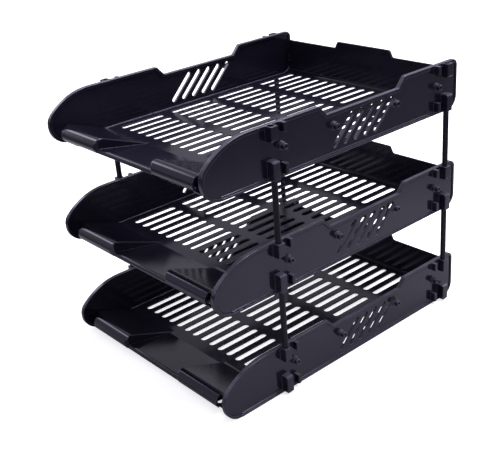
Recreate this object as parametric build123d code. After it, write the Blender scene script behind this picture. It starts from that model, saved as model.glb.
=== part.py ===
from build123d import *
import math
import os

# Three open letter trays on eight slim posts, in millimetres.
# Origin: middle of the footprint, on the surface that the stack stands on.
# +X to the right, -Y to the open front, +Z up.

# Driving dimensions of one tray
LENGTH = 343.5            # front curve to rear edge of a side panel
WIDTH = 255.0             # over the rims of the two side panels
PITCH = 112.0             # from one tray to the next
SHOULDER = 52.5           # height of a side panel at its shoulders
DIP = 42.3                # height of a side panel in its dip
FRONT = -LENGTH / 2
REAR = LENGTH / 2
MIDDLE = FRONT + 200.0    # the dip, posts and pegs are symmetric about this line

# Side panels
RIM_WIDTH = 5.0           # thickness of the rim, across the tray
RIM_BAND = 3.0            # width of the rim, in the plane of the panel
WALL = 2.6
WALL_OUTER = WIDTH / 2 - 0.9
WALL_INNER = WALL_OUTER - WALL
RIM_INNER = WIDTH / 2 - RIM_WIDTH
RAIL_HEIGHT = 4.2
RAIL_GROOVE = 0.7
BEAD_R = 1.2              # round bead along the foot of the outer face
CREASE = 0.9              # width and depth of the groove between rim and wall
FRONT_NOSE_R = 15.0       # small arc of the front curve
FRONT_NOSE_Z = 22.0
FRONT_CURVE_RUN = 54.0    # how far back the front curve reaches the shoulder
FRONT_FOOT_R = 20.0
REAR_FOOT_R = 14.0
REAR_TOP_R = 7.0
DIP_HALF = 50.5
SHOULDER_HALF = 60.0

# Slanted slots in the side panels
SLANT_COUNT = 5
SLANT_PITCH = 14.25
SLANT_WIDTH = 5.2
SLANT_LOW = 7.5
SLANT_HIGH = 37.0

# Sockets, hooks and pegs on the outer face of a side panel
OUTER_REACH = 135.0       # outermost face of the sockets
POST_X = 130.2
POST_OFFSET = 122.5
POST_R = 3.0
POST_CHAMFER = 0.6
POST_END_PLAY = 0.2
SOCKET_R = POST_R + 0.05
SOCKET_DEPTH = 12.0
SOCKET_HALF = 4.1
SOCKET_BEVEL = 1.6        # slope over the blind end of a socket
UPPER_SOCKET = (38.0, 52.2)
LOWER_SOCKET = (2.5, 20.0)
HOOK_OFFSET = 108.0
HOOK_HALF = 2.0
HOOK_REACH = 6.4
UPPER_HOOK = (43.5, 52.0)
LOWER_HOOK = (RAIL_HEIGHT, 14.0)
PEG_OFFSETS = (-109.0, -42.5, 42.5, 109.0)
PEG_Z = 29.8
PEG_BOSS_R = 4.2
PEG_BOSS_REACH = 2.6
PEG_R = 3.2
PEG_REACH = 7.2
PEG_HOLE_R = 1.6
PEG_HOLE_DEPTH = 6.0

# Base: slotted floor, recess, ramps and rolled lips
SHEET = 2.2               # ramps and lips
FLOOR_SHEET = 1.5
FLOOR_TOP = 2.5
FLOOR_UNDER = FLOOR_TOP - FLOOR_SHEET
FLOOR_HALF = RIM_INNER
SLOT_COLUMNS = 16
SLOT_ROWS = 4
SLOT_PITCH_X = 14.6
SLOT_PITCH_Y = 66.9
SLOT_WIDTH = 7.6
SLOT_LENGTH = 55.5
SLOT_FIELD_MIDDLE = FRONT + 205.1
RAMP_FOOT = FRONT + 66.0
ROLL_R = 8.0
ROLL_Y = FRONT + 12.0
ROLL_Z = 14.2
ROLL_UNDER = 50.0         # degrees that the roll curls below its foremost line
RECESS_HALF = 45.0
RECESS_CORNER_R = 7.0
RECESS_CORNER_FRONT = FRONT + 3.0   # just ahead of the roll, which starts at FRONT + 4
RECESS_FRONT = FRONT + 7.5
RECESS_REAR = RAMP_FOOT - 4.0
RECESS_FRONT_TOP = 12.6
RECESS_LIP = 4.8          # height of the turned-down front edge
RECESS_SHEET = 2.6        # upright thickness behind the front edge
RECESS_EDGE_R = 3.0
LIP_END = 108.5
WEB = (98.0, 99.8)        # rib that closes the hollow behind the end of a lip
CHEEK_R = 1.2             # rounding along the top of a recess cheek
FOOT_R = 14.0             # hollow rounding where a ramp meets the floor
NOTCH_DEPTH = 20.0        # how far back the notch beside the roll reaches at the panel
TOE_UNDER = 0.3
TOE_R = 13.0
TOE_SWEEP = 55.0
TOE_FRONT = FRONT + 8.0
TOE_INNER = WEB[0]
REAR_FILLET_R = 3.0
REAR_FLANGE_HEIGHT = 6.0
REAR_FLANGE_SHEET = 0.8

# Back panel
BACK_SHEET = 2.2
BACK_FRONT = REAR - 4.0
BACK_TOP = 42.0
TAB_TOP = 49.7
TAB_HALF_TOP = 39.6
TAB_HALF_FOOT = 43.5
TAB_CORNER_R = 3.0

# Tongues that lock the base and the back into the side panels
TONGUE_REACH = RIM_INNER + 3.1
TONGUE_PLAY = 0.15
TONGUE_LENGTH = 16.0
BASE_TONGUES = (FRONT + 84.0, FRONT + 166.0, FRONT + 234.0, FRONT + 312.0)
BACK_TONGUE_HEIGHT = 9.0
BACK_TONGUES = (11.0, 30.0)

EDGE = 0.7                # rounding of moulded edges
BLOCK_EDGE = 0.8          # rounding of sockets, hooks and pegs
STEP_R = 3.0              # rounding of the steps into and out of the dip
TIERS = ("lower", "middle", "upper")


def box_between(low, high):
    size = [b - a for a, b in zip(low, high)]
    middle = [(a + b) / 2 for a, b in zip(low, high)]
    return Pos(*middle) * Box(*size)


def on_side(face):
    """A face drawn in (Y, Z), stood up in the YZ plane."""
    return Plane.YZ * face


def polar(centre, radius, degrees):
    angle = math.radians(degrees)
    return (centre[0] + radius * math.cos(angle), centre[1] + radius * math.sin(angle))


def arc(centre, radius, start, end):
    """Arc through three points about a centre, angles in degrees."""
    points = [polar(centre, radius, a) for a in (start, (start + end) / 2, end)]
    return ThreePointArc(*points)


def face_of(edges):
    return make_face(Wire(edges))


def side_outline():
    """Outline of a side panel, in (Y, Z)."""
    rise = SHOULDER - FRONT_NOSE_Z
    run = FRONT_CURVE_RUN
    sweep_r = (run * run + rise * rise - 2 * run * FRONT_NOSE_R) / (2 * rise - 2 * FRONT_NOSE_R)
    nose = (FRONT + FRONT_NOSE_R, FRONT_NOSE_Z)
    sweep = (FRONT + run, SHOULDER - sweep_r)
    join = math.degrees(math.atan2(nose[1] - sweep[1], nose[0] - sweep[0]))
    foot = (FRONT + FRONT_FOOT_R, FRONT_FOOT_R)
    heel = (REAR - REAR_FOOT_R, REAR_FOOT_R)
    crown = (REAR - REAR_TOP_R, SHOULDER - REAR_TOP_R)
    top = [
        (crown[0], SHOULDER),
        (MIDDLE + SHOULDER_HALF, SHOULDER),
        (MIDDLE + DIP_HALF, DIP),
        (MIDDLE - DIP_HALF, DIP),
        (MIDDLE - SHOULDER_HALF, SHOULDER),
        (sweep[0], SHOULDER),
    ]
    edges = [
        Line((foot[0], 0), (heel[0], 0)),
        arc(heel, REAR_FOOT_R, -90, 0),
        Line((REAR, heel[1]), (REAR, crown[1])),
        arc(crown, REAR_TOP_R, 0, 90),
    ]
    edges += [Line(a, b) for a, b in zip(top, top[1:])]
    edges += [
        arc(sweep, sweep_r, 90, join),
        arc(nose, FRONT_NOSE_R, join, 180),
        Line((FRONT, nose[1]), (FRONT, foot[1])),
        arc(foot, FRONT_FOOT_R, 180, 270),
    ]
    outline = face_of(edges)
    steps = [v for v in outline.vertices() if abs(v.X - MIDDLE) < SHOULDER_HALF + 1 and v.Y > DIP - 1]
    return fillet(steps, STEP_R)


def slanted_slots():
    """The five leaning slots, cut through a side panel."""
    rise = SLANT_HIGH - SLANT_LOW
    tip = SLANT_WIDTH / 2
    run = rise - 2 * tip
    slots = []
    for index in range(SLANT_COUNT):
        y = MIDDLE + (index - (SLANT_COUNT - 1) / 2) * SLANT_PITCH
        low = (y - run / 2, SLANT_LOW + tip)
        high = (y + run / 2, SLANT_HIGH - tip)
        slot = SlotCenterToCenter(math.dist(low, high), SLANT_WIDTH, rotation=45)
        slots.append(Pos((low[0] + high[0]) / 2, (low[1] + high[1]) / 2) * slot)
    return [Pos(RIM_INNER - 1, 0, 0) * extrude(on_side(slot), RIM_WIDTH + 3) for slot in slots]


def socket(y, span, mouth_up):
    """A square socket block on the outer face and the hole that its post enters."""
    low, high = span
    block = box_between((WALL_INNER, y - SOCKET_HALF, low), (OUTER_REACH, y + SOCKET_HALF, high))
    blind_end = block.faces().sort_by(Axis.Z)[0 if mouth_up else -1]
    block = chamfer(blind_end.edges().sort_by(Axis.X)[-1], SOCKET_BEVEL)
    outer = block.edges().filter_by(Axis.Z).group_by(Axis.X)[-1]
    block = fillet(outer, BLOCK_EDGE)
    foot = high - SOCKET_DEPTH if mouth_up else 0
    top = SHOULDER if mouth_up else low + SOCKET_DEPTH
    hole = Pos(POST_X, y, foot) * Cylinder(
        SOCKET_R, top - foot, align=(Align.CENTER, Align.CENTER, Align.MIN))
    return block, hole


def hook(y, span):
    low, high = span
    rib = box_between(
        (WALL_INNER + 0.5, y - HOOK_HALF, low), (WALL_OUTER + HOOK_REACH, y + HOOK_HALF, high))
    outer = rib.edges().filter_by(Axis.Z).group_by(Axis.X)[-1]
    return fillet(outer, BLOCK_EDGE)


def peg(y):
    """A stepped hollow peg that stands out of the side panel."""
    outward = Plane(origin=(WALL_INNER + 0.5, y, PEG_Z), x_dir=(0, 1, 0), z_dir=(1, 0, 0))
    from_min = (Align.CENTER, Align.CENTER, Align.MIN)
    root = WALL_OUTER - WALL_INNER - 0.5
    boss = outward * Cylinder(PEG_BOSS_R, root + PEG_BOSS_REACH, align=from_min)
    pin = outward * Cylinder(PEG_R, root + PEG_REACH, align=from_min)
    tip = pin.edges().sort_by(Axis.X)[-1]
    pin = fillet(tip, BLOCK_EDGE)
    rim = boss.edges().sort_by(Axis.X)[-1]
    boss = fillet(rim, BLOCK_EDGE)
    mouth = WALL_OUTER + PEG_REACH
    hollow = Plane(origin=(mouth - PEG_HOLE_DEPTH, y, PEG_Z), x_dir=(0, 1, 0), z_dir=(1, 0, 0))
    hole = hollow * Cylinder(PEG_HOLE_R, PEG_HOLE_DEPTH, align=from_min)
    return boss + pin, hole


def base_tongue_slots():
    cuts = []
    for y in BASE_TONGUES:
        half = TONGUE_LENGTH / 2 + TONGUE_PLAY
        cuts.append(box_between(
            (RIM_INNER - 1, y - half, FLOOR_UNDER - TONGUE_PLAY),
            (TONGUE_REACH + TONGUE_PLAY, y + half, FLOOR_TOP + TONGUE_PLAY)))
    return cuts


def back_tongue_slots():
    cuts = []
    for z in BACK_TONGUES:
        half = BACK_TONGUE_HEIGHT / 2 + TONGUE_PLAY
        cuts.append(box_between(
            (RIM_INNER - 1, BACK_FRONT - TONGUE_PLAY, z - half),
            (TONGUE_REACH + TONGUE_PLAY, BACK_FRONT + BACK_SHEET + TONGUE_PLAY, z + half)))
    return cuts


def right_side():
    """Right side panel: thin wall in a rim, with sockets, hooks and pegs outside."""
    outline = side_outline()
    inner = offset(outline, -RIM_BAND)
    rim = Pos(RIM_INNER, 0, 0) * extrude(on_side(outline), RIM_WIDTH)
    long_edges = [e for e in rim.edges() if e.bounding_box().size.X < 1e-4]
    rim = fillet(long_edges, EDGE)
    rim -= Pos(RIM_INNER - 1, 0, 0) * extrude(on_side(inner), RIM_WIDTH + 2)
    wall = Pos(WALL_INNER, 0, 0) * extrude(on_side(offset(outline, -1.0)), WALL)
    rail = box_between(
        (WALL_INNER, FRONT + FRONT_FOOT_R, 1.0), (WIDTH / 2, REAR - REAR_FOOT_R, RAIL_HEIGHT))
    upper_edge = rail.edges().filter_by(Axis.Y).group_by(Axis.X)[-1].sort_by(Axis.Z)[-1]
    rail = fillet(upper_edge, EDGE)
    groove = box_between(
        (WIDTH / 2 - RAIL_GROOVE, FRONT + FRONT_FOOT_R, BEAD_R * 2),
        (WIDTH / 2 + 1, REAR - REAR_FOOT_R, BEAD_R * 2 + RAIL_GROOVE))
    bead_length = LENGTH - FRONT_FOOT_R - REAR_FOOT_R
    bead_middle = (FRONT + FRONT_FOOT_R + REAR - REAR_FOOT_R) / 2
    bead = Pos(WIDTH / 2 - BEAD_R / 2, bead_middle, BEAD_R) * Cylinder(
        BEAD_R, bead_length, rotation=(90, 0, 0))
    crease_band = offset(outline, -RIM_BAND) - offset(outline, -RIM_BAND - CREASE)
    crease = Pos(WALL_OUTER - CREASE, 0, 0) * extrude(on_side(crease_band), CREASE + 1)
    panel = rim + (wall - crease) + rail - groove + bead
    holes = slanted_slots() + base_tongue_slots() + back_tongue_slots()
    for sign in (-1, 1):
        y = MIDDLE + sign * POST_OFFSET
        for span, mouth_up in ((UPPER_SOCKET, True), (LOWER_SOCKET, False)):
            block, hole = socket(y, span, mouth_up)
            panel += block
            holes.append(hole)
        for span in (UPPER_HOOK, LOWER_HOOK):
            panel += hook(MIDDLE + sign * HOOK_OFFSET, span)
    for shift in PEG_OFFSETS:
        pin, hole = peg(MIDDLE + shift)
        panel += pin
        holes.append(hole)
    for hole in holes:
        panel -= hole
    return panel


def ramp_angle():
    """Slope of the ramp, in degrees, that meets the roll without a corner."""
    dy = RAMP_FOOT - ROLL_Y
    dz = ROLL_Z - FLOOR_TOP
    reach = math.hypot(dy, dz)
    return math.degrees(math.atan2(dz, dy) + math.asin(ROLL_R / reach))


def bolster_profile(depth, down):
    """Area under the ramp and roll in (Y, Z), a depth inside the outer surface.

    With down above zero the area also runs out through the open underside.
    """
    slope = ramp_angle()
    lean = math.radians(slope)
    radius = ROLL_R - depth
    centre = (ROLL_Y, ROLL_Z)
    crest_angle = 90 - slope
    end_angle = 180 + ROLL_UNDER
    crest = polar(centre, radius, crest_angle)
    end = polar(centre, radius, end_angle)
    foot_y = RAMP_FOOT - depth / math.sin(lean) + depth / math.tan(lean)
    foot = (foot_y, FLOOR_TOP - depth)
    below = (foot_y, FLOOR_UNDER - down)
    edges = [arc(centre, radius, crest_angle, end_angle)]
    if down:
        outer_end = polar(centre, ROLL_R + down, end_angle)
        lowest = (outer_end[0], FLOOR_UNDER - down)
        edges += [Line(end, outer_end), Line(outer_end, lowest), Line(lowest, below)]
    else:
        edges += [Line(end, below)]
    if depth:
        edges += [Line(below, foot), Line(foot, crest)]
    else:
        run = FOOT_R * math.tan(lean / 2)
        foot = (RAMP_FOOT + run, FLOOR_TOP)
        bend = (foot[0], FLOOR_TOP + FOOT_R)
        start = polar(bend, FOOT_R, 270 - slope)
        corner = (foot[0], FLOOR_UNDER)
        edges += [Line(below, corner), Line(corner, foot), arc(bend, FOOT_R, 270, 270 - slope)]
        edges += [Line(start, crest)]
    return face_of(edges)


def bolster_plan():
    """Plan of one ramp and lip in (X, Y), rounded where the recess opens."""
    turn = RECESS_CORNER_FRONT + RECESS_CORNER_R
    corner = (RECESS_HALF + RECESS_CORNER_R, RECESS_CORNER_FRONT)
    rear = RAMP_FOOT + 5
    edges = [
        Line((RECESS_HALF, rear), (RECESS_HALF, turn)),
        arc((corner[0], turn), RECESS_CORNER_R, 180, 270),
    ]
    points = [
        corner,
        (LIP_END, RECESS_CORNER_FRONT),
        (LIP_END, ROLL_Y),
        (FLOOR_HALF, FRONT + NOTCH_DEPTH),
        (FLOOR_HALF, rear),
        (RECESS_HALF, rear),
    ]
    edges += [Line(a, b) for a, b in zip(points, points[1:])]
    return face_of(edges)


def side_prism(profile, low, high):
    return Pos(low, 0, 0) * extrude(on_side(profile), high - low)


def bolster():
    """Right ramp with its hollow rolled lip, closed by a cheek at the recess."""
    top = ROLL_Z + ROLL_R + 2
    outer = side_prism(bolster_profile(0, 0), RECESS_HALF - 1, FLOOR_HALF)
    outer &= Pos(0, 0, -1) * extrude(bolster_plan(), top + 1)
    hollow = side_prism(bolster_profile(SHEET, 3.0), RECESS_HALF - 1, WIDTH)
    room = Pos(RECESS_HALF + SHEET, FRONT - 5, -5) * Box(
        WIDTH, LENGTH, top, align=(Align.MIN, Align.MIN, Align.MIN))
    shell = outer - (hollow & room)
    web = side_prism(bolster_profile(SHEET / 2, 0), WEB[0], WEB[1])
    return round_cheek(shell) + web


def round_cheek(shell):
    """Round the edges where the ramp and the roll meet the cheek of the recess."""
    near = RECESS_HALF + RECESS_CORNER_R + 0.1
    crest = ROLL_Z + ROLL_R - 1
    tops = [(edge, edge.bounding_box().max) for edge in shell.edges()]
    return fillet([edge for edge, top in tops if top.X < near and top.Z > crest], CHEEK_R)


def recess_plate():
    """Right half of the recess plate, rising gently to a turned-down front edge."""
    half = RECESS_HALF + SHEET / 2
    inner = RECESS_FRONT + SHEET
    points = [
        (RECESS_REAR, FLOOR_TOP),
        (RECESS_FRONT, RECESS_FRONT_TOP),
        (RECESS_FRONT, RECESS_FRONT_TOP - RECESS_LIP),
        (inner, RECESS_FRONT_TOP - RECESS_LIP),
        (inner, RECESS_FRONT_TOP - RECESS_SHEET),
        (RECESS_REAR, FLOOR_UNDER),
    ]
    profile = make_face(Polyline(*points, close=True))
    plate = side_prism(profile, 0, half)
    front_edge = plate.edges().filter_by(Axis.X).sort_by(Axis.Z)[-1]
    return fillet(front_edge, RECESS_EDGE_R)


def toe():
    """Strip of floor that runs on to the front under the notch and curls up."""
    toe_top = TOE_UNDER + SHEET
    centre = (TOE_FRONT + TOE_R, TOE_UNDER + TOE_R)
    end = 270 - TOE_SWEEP
    outer_end = polar(centre, TOE_R, end)
    inner_end = polar(centre, TOE_R - SHEET, end)
    edges = [
        Line((RAMP_FOOT, TOE_UNDER), (centre[0], TOE_UNDER)),
        arc(centre, TOE_R, 270, end),
        Line(outer_end, inner_end),
        arc(centre, TOE_R - SHEET, end, 270),
        Line((centre[0], toe_top), (RAMP_FOOT, toe_top)),
        Line((RAMP_FOOT, toe_top), (RAMP_FOOT, TOE_UNDER)),
    ]
    return side_prism(face_of(edges), TOE_INNER, FLOOR_HALF)


def rear_flange():
    """Hollow fillet that turns the floor up against the back panel."""
    y = BACK_FRONT
    r = REAR_FILLET_R
    front = y - REAR_FLANGE_SHEET
    centre = (front - r, FLOOR_TOP + r)
    edges = [
        Line((centre[0], FLOOR_UNDER), (y, FLOOR_UNDER)),
        Line((y, FLOOR_UNDER), (y, REAR_FLANGE_HEIGHT)),
        Line((y, REAR_FLANGE_HEIGHT), (front, REAR_FLANGE_HEIGHT)),
        Line((front, REAR_FLANGE_HEIGHT), (front, centre[1])),
        arc(centre, r, 0, -90),
        Line((centre[0], FLOOR_TOP), (centre[0], FLOOR_UNDER)),
    ]
    return side_prism(face_of(edges), -FLOOR_HALF, FLOOR_HALF)


def floor_slots():
    """Sixteen columns of four long slots, cut in one piece."""
    slot = SlotOverall(SLOT_LENGTH, SLOT_WIDTH, rotation=90)
    grid = GridLocations(SLOT_PITCH_X, SLOT_PITCH_Y, SLOT_COLUMNS, SLOT_ROWS)
    field = Sketch() + [place * slot for place in grid]
    return Pos(0, SLOT_FIELD_MIDDLE, FLOOR_UNDER - 1) * extrude(field, SHEET + 2)


def base():
    """Base of one tray: slotted floor, recess, ramps, lips and tongues."""
    rear_start = BACK_FRONT - REAR_FILLET_R - REAR_FLANGE_SHEET
    plate = box_between((-FLOOR_HALF, RECESS_REAR, FLOOR_UNDER), (FLOOR_HALF, rear_start, FLOOR_TOP))
    plate -= floor_slots()
    plate += rear_flange()
    half = recess_plate() + bolster() + toe()
    plate += half
    plate += mirror(half, about=Plane.YZ)
    for y in BASE_TONGUES:
        half_length = TONGUE_LENGTH / 2
        tongue = box_between(
            (FLOOR_HALF - 1, y - half_length, FLOOR_UNDER), (TONGUE_REACH, y + half_length, FLOOR_TOP))
        plate += tongue
        plate += mirror(tongue, about=Plane.YZ)
    return plate


def back():
    """Back panel with its raised middle tab and end tongues."""
    points = [
        (-FLOOR_HALF, FLOOR_UNDER),
        (FLOOR_HALF, FLOOR_UNDER),
        (FLOOR_HALF, BACK_TOP),
        (TAB_HALF_FOOT, BACK_TOP),
        (TAB_HALF_TOP, TAB_TOP),
        (-TAB_HALF_TOP, TAB_TOP),
        (-TAB_HALF_FOOT, BACK_TOP),
        (-FLOOR_HALF, BACK_TOP),
    ]
    outline = make_face(Polyline(*points, close=True))
    corners = [v for v in outline.vertices() if abs(v.X) < TAB_HALF_FOOT + 1 and v.Y > BACK_TOP - 1]
    outline = fillet(corners, TAB_CORNER_R)
    upright = Plane(origin=(0, BACK_FRONT, 0), x_dir=(1, 0, 0), z_dir=(0, -1, 0))
    panel = extrude(upright * outline, -BACK_SHEET)
    rounded = [e for e in panel.edges() if e.center().Z > BACK_TOP - 0.5 and e.length > 5]
    rounded = [e for e in rounded if e.bounding_box().size.Y < 1e-4]
    panel = fillet(rounded, EDGE)
    for z in BACK_TONGUES:
        half = BACK_TONGUE_HEIGHT / 2
        tongue = box_between(
            (FLOOR_HALF - 1, BACK_FRONT, z - half), (TONGUE_REACH, BACK_FRONT + BACK_SHEET, z + half))
        panel += tongue
        panel += mirror(tongue, about=Plane.YZ)
    return panel


def post():
    """Round post, from the bottom of one socket to the top of the next."""
    low = UPPER_SOCKET[1] - SOCKET_DEPTH
    high = PITCH + LOWER_SOCKET[0] + SOCKET_DEPTH - POST_END_PLAY
    rod = Cylinder(POST_R, high - low, align=(Align.CENTER, Align.CENTER, Align.MIN))
    rod = chamfer(rod.edges().filter_by(GeomType.CIRCLE), POST_CHAMFER)
    return Pos(0, 0, low) * rod


def save(node, shape):
    export_step(shape, f"parts/{node}.step")
    print(node, "solids", len(shape.solids()), "volume", round(shape.volume))


def main():
    os.makedirs("parts", exist_ok=True)
    right = right_side()
    pieces = {
        "base": base(),
        "right_side": right,
        "left_side": mirror(right, about=Plane.YZ),
        "back": back(),
    }
    rod = post()
    for level, tier in enumerate(TIERS):
        for name, shape in pieces.items():
            save(f"{tier}_{name}", Pos(0, 0, level * PITCH) * shape)
    for level, tier in enumerate(TIERS[:-1]):
        for y_name, y_sign in (("front", -1), ("rear", 1)):
            for x_name, x_sign in (("left", -1), ("right", 1)):
                place = Pos(x_sign * POST_X, MIDDLE + y_sign * POST_OFFSET, level * PITCH)
                save(f"{tier}_post_{y_name}_{x_name}", place * rod)


main()
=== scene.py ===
import bpy
from mathutils import Matrix, Vector

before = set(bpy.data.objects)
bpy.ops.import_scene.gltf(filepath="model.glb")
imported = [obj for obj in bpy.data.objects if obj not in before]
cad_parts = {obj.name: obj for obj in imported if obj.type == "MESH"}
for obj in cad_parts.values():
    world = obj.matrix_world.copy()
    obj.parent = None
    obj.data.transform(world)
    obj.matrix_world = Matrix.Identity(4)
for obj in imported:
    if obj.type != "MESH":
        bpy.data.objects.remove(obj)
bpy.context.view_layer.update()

# ---------------------------------------------------------------- numbers

# Painted highlight on the edges and rim tops of the plastic
EDGE_RADIUS = 0.0007              # how far from an edge the rounding and the painted highlight reach
EDGE_SAMPLES = 6
EDGE_HIGHLIGHT_FACING = (0.75, 0.98)      # painted edge highlight full, painted edge highlight none
RIM_FROM_MIDDLE = (0.1222, 0.1228)    # the rims and what stands outside them
UPWARD = (0.35, 0.80)             # faces that look up count as tops, which get the painted highlight
HIGHLIGHT_PATCH_LEAST = 0.55                # painted highlight left between the patches
BUMP_DISTANCE = 0.0002

# Scales of the noises
DRIFT_SCALE = 14.0
PATCH_SCALE = 60.0
GLOSS_SCALE = 38.0

IOR = 1.5
SPECULAR_TINT = (0.83, 0.79, 1.0)

# White studio
FLOOR_HALF = 6.0
FLOOR_TONE = 0.8
FLOOR_GLOW = 0.62                 # what the camera sees on top of the lit floor
NEAR_FLOOR = 0.43                 # tone that reflections see in the floor beside the stack
FAR_FLOOR = 0.13                  # and further out, where the white sheet ends
SHEET_END = (0.45, 0.72)          # distance from the middle over which it ends
SKY = 0.47                        # light that the white studio gives
SKY_SEEN = 1.05                   # its brightness to the camera
COOL = (0.93, 0.90, 1.0)

# name, place, target, size, power
LAMPS = (
    ("overhead", (0.25, 0.55, 1.7), (0, 0, 0.1), (1.3, 0.9), 46),
    ("front_soft", (0.2, -1.6, 0.9), (0, 0, 0.12), (1.2, 0.5), 8),
    ("rear_soft", (0.6, 2.0, 0.9), (0, 0, 0.12), (1.4, 0.7), 12),
    ("left_high", (-1.3, -0.25, 1.1), (0, 0, 0.2), (0.45, 0.5), 2.2),
    ("left_soft", (-2.0, -0.5, 0.7), (0, 0, 0.12), (1.0, 0.6), 8),
)

# Camera, solved from the photograph
RIGHT = Vector((0.66010, 0.74755, -0.07375))
UP = Vector((-0.27311, 0.33029, 0.90350))
AHEAD = Vector((-0.69977, 0.57626, -0.42219))
STAND = Vector((0.6632, -0.5654, 0.5101))
SENSOR = 36.0
FOCAL_PIXELS = 867.94
PICTURE_WIDTH = 500.0

# ---------------------------------------------------------------- shader nodes


def link(tree, source, source_socket, target, target_socket):
    tree.links.new(source.outputs[source_socket], target.inputs[target_socket])


def noise(tree, coord, scale, detail, roughness=0.5):
    node = tree.nodes.new("ShaderNodeTexNoise")
    node.inputs["Scale"].default_value = scale
    node.inputs["Detail"].default_value = detail
    node.inputs["Roughness"].default_value = roughness
    link(tree, coord, "Object", node, "Vector")
    return node


def span(tree, source, socket, low, high, source_low=0.3, source_high=0.7):
    """Turn the range source_low to source_high into low to high."""
    node = tree.nodes.new("ShaderNodeMapRange")
    node.inputs["From Min"].default_value = source_low
    node.inputs["From Max"].default_value = source_high
    node.inputs["To Min"].default_value = low
    node.inputs["To Max"].default_value = high
    link(tree, source, socket, node, "Value")
    return node


def math_node(tree, operation, first, first_socket, second=None, second_socket=None):
    node = tree.nodes.new("ShaderNodeMath")
    node.operation = operation
    link(tree, first, first_socket, node, 0)
    if second:
        link(tree, second, second_socket, node, 1)
    return node


def vector_math(tree, operation, first, first_socket, second=None, second_socket=None):
    node = tree.nodes.new("ShaderNodeVectorMath")
    node.operation = operation
    link(tree, first, first_socket, node, 0)
    if second:
        link(tree, second, second_socket, node, 1)
    return node


def split(tree, source, socket):
    node = tree.nodes.new("ShaderNodeSeparateXYZ")
    link(tree, source, socket, node, "Vector")
    return node


def two_tones(tree, source, socket, dark, light):
    node = tree.nodes.new("ShaderNodeValToRGB")
    for element, position, tone in zip(node.color_ramp.elements, (0.3, 0.7), (dark, light)):
        element.position = position
        element.color = (*tone, 1)
    link(tree, source, socket, node, "Fac")
    return node


# ---------------------------------------------------------------- materials


def painted_highlight(tree, coord, geometry, bevel):
    """Painted highlight: edges are painted pale, and so are the tops of the rims, in patches."""
    facing = vector_math(tree, "DOT_PRODUCT", bevel, "Normal", geometry, "Normal")
    edges = span(tree, facing, "Value", 1.0, 0.0, *EDGE_HIGHLIGHT_FACING)
    out = math_node(tree, "ABSOLUTE", split(tree, coord, "Object"), "X")
    rim = span(tree, out, "Value", 0.0, 1.0, *RIM_FROM_MIDDLE)
    upward = span(tree, split(tree, bevel, "Normal"), "Z", 0.0, 1.0, *UPWARD)
    patches = span(tree, noise(tree, coord, PATCH_SCALE, 4.0), "Fac", HIGHLIGHT_PATCH_LEAST, 1.0)
    top = math_node(tree, "MULTIPLY", rim, "Result", upward, "Result")
    top = math_node(tree, "MULTIPLY", top, "Value", patches, "Result")
    return math_node(tree, "MAXIMUM", edges, "Result", top, "Value")


def moulded(name, dark, light, highlight_colour, rough, grain, grain_strength, shine):
    """Black moulded plastic: faint colour drift, uneven gloss, a fine grain, and a painted
    highlight on edges and rim tops.
    """
    mat = bpy.data.materials.new(name)
    mat.use_nodes = True
    tree = mat.node_tree
    bsdf = tree.nodes["Principled BSDF"]
    coord = tree.nodes.new("ShaderNodeTexCoord")
    geometry = tree.nodes.new("ShaderNodeNewGeometry")
    bevel = tree.nodes.new("ShaderNodeBevel")
    bevel.samples = EDGE_SAMPLES
    bevel.inputs["Radius"].default_value = EDGE_RADIUS

    plain = two_tones(tree, noise(tree, coord, DRIFT_SCALE, 4.0), "Fac", dark, light)
    colour = tree.nodes.new("ShaderNodeMix")
    colour.data_type = "RGBA"
    # Colour B is the painted highlight, laid on edges and rim tops
    colour.inputs["B"].default_value = (*highlight_colour, 1)
    link(tree, painted_highlight(tree, coord, geometry, bevel), "Value", colour, "Factor")
    link(tree, plain, "Color", colour, "A")
    link(tree, colour, "Result", bsdf, "Base Color")

    gloss = noise(tree, coord, GLOSS_SCALE, 6.0, 0.6)
    link(tree, span(tree, gloss, "Fac", *rough), "Result", bsdf, "Roughness")

    bump = tree.nodes.new("ShaderNodeBump")
    bump.inputs["Strength"].default_value = grain_strength
    bump.inputs["Distance"].default_value = BUMP_DISTANCE
    link(tree, noise(tree, coord, grain, 3.0), "Fac", bump, "Height")
    link(tree, bevel, "Normal", bump, "Normal")
    link(tree, bump, "Normal", bsdf, "Normal")

    bsdf.inputs["Specular IOR Level"].default_value = shine
    bsdf.inputs["IOR"].default_value = IOR
    bsdf.inputs["Specular Tint"].default_value = (*SPECULAR_TINT, 1)
    return mat


# The third colour of each plastic is its painted highlight for edges and rim tops
tray_mat = moulded(
    "tray_plastic",
    dark=(0.0052, 0.0050, 0.0096), light=(0.0076, 0.0072, 0.0134), highlight_colour=(0.066, 0.063, 0.085),
    rough=(0.09, 0.17), grain=900.0, grain_strength=0.08, shine=0.5)
post_mat = moulded(
    "post_plastic",
    dark=(0.0036, 0.0035, 0.0055), light=(0.0052, 0.0050, 0.0075), highlight_colour=(0.012, 0.012, 0.016),
    rough=(0.30, 0.42), grain=1400.0, grain_strength=0.10, shine=0.22)

for name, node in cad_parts.items():
    node.data.materials.clear()
    node.data.materials.append(post_mat if "_post_" in name else tray_mat)

# ---------------------------------------------------------------- stage


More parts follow.
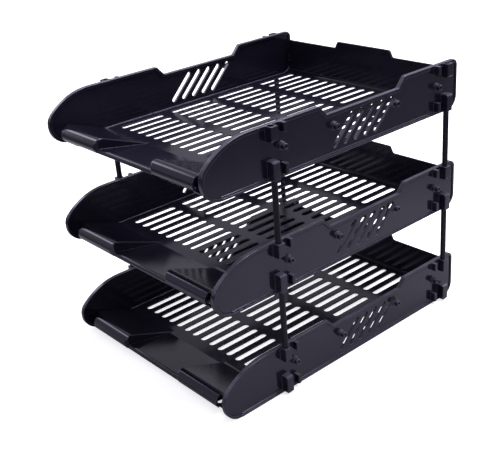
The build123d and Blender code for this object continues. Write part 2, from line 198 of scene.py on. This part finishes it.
def stage_floor():
    """White floor: bright with a faint shadow to the camera, duller in the reflections."""
    mesh = bpy.data.meshes.new("floor")
    half = FLOOR_HALF
    corners = [(-half, -half, 0), (half, -half, 0), (half, half, 0), (-half, half, 0)]
    mesh.from_pydata(corners, [], [(0, 1, 2, 3)])
    floor = bpy.data.objects.new("floor", mesh)
    bpy.context.scene.collection.objects.link(floor)
    mat = bpy.data.materials.new("floor_white")
    mat.use_nodes = True
    tree = mat.node_tree
    bsdf = tree.nodes["Principled BSDF"]
    bsdf.inputs["Roughness"].default_value = 0.9
    bsdf.inputs["Specular IOR Level"].default_value = 0.0
    bsdf.inputs["Emission Color"].default_value = (1, 1, 1, 1)
    path = tree.nodes.new("ShaderNodeLightPath")
    coord = tree.nodes.new("ShaderNodeTexCoord")
    away = vector_math(tree, "LENGTH", coord, "Object")
    mirrored = span(tree, away, "Value", NEAR_FLOOR, FAR_FLOOR, *SHEET_END)
    tone = tree.nodes.new("ShaderNodeMix")
    tone.inputs["A"].default_value = FLOOR_TONE
    link(tree, path, "Is Glossy Ray", tone, "Factor")
    link(tree, mirrored, "Result", tone, "B")
    link(tree, tone, "Result", bsdf, "Base Color")
    glow = math_node(tree, "MULTIPLY", path, "Is Camera Ray")
    glow.inputs[1].default_value = FLOOR_GLOW
    link(tree, glow, "Value", bsdf, "Emission Strength")
    mesh.materials.append(mat)


def studio():
    """White all round: plain white to the camera, dimmer and cooler as light."""
    world = bpy.data.worlds.new("studio")
    bpy.context.scene.world = world
    world.use_nodes = True
    tree = world.node_tree
    background = tree.nodes["Background"]
    path = tree.nodes.new("ShaderNodeLightPath")
    seen = math_node(tree, "MULTIPLY_ADD", path, "Is Camera Ray")
    seen.inputs[1].default_value = SKY_SEEN - SKY
    seen.inputs[2].default_value = SKY
    link(tree, seen, "Value", background, "Strength")
    hue = tree.nodes.new("ShaderNodeMix")
    hue.data_type = "RGBA"
    hue.inputs["A"].default_value = (*COOL, 1)
    hue.inputs["B"].default_value = (1, 1, 1, 1)
    link(tree, path, "Is Camera Ray", hue, "Factor")
    link(tree, hue, "Result", background, "Color")


def area(name, place, target, size, power):
    lamp = bpy.data.lights.new(name, "AREA")
    lamp.shape = "RECTANGLE"
    lamp.size, lamp.size_y = size
    lamp.energy = power
    lamp.color = COOL
    obj = bpy.data.objects.new(name, lamp)
    bpy.context.scene.collection.objects.link(obj)
    obj.location = place
    aim = Vector(target) - Vector(place)
    obj.rotation_euler = aim.to_track_quat("-Z", "Y").to_euler()


stage_floor()
studio()
for lamp_row in LAMPS:
    area(*lamp_row)

# ---------------------------------------------------------------- camera

camera_data = bpy.data.cameras.new("camera")
camera_data.sensor_width = SENSOR
camera_data.lens = FOCAL_PIXELS * SENSOR / PICTURE_WIDTH
camera_data.clip_start = 0.01
camera = bpy.data.objects.new("camera", camera_data)
bpy.context.scene.collection.objects.link(camera)
turn = Matrix((RIGHT, UP, -AHEAD)).transposed().to_4x4()
camera.matrix_world = Matrix.Translation(STAND) @ turn
bpy.context.scene.camera = camera

bpy.context.scene.view_settings.view_transform = "Standard"
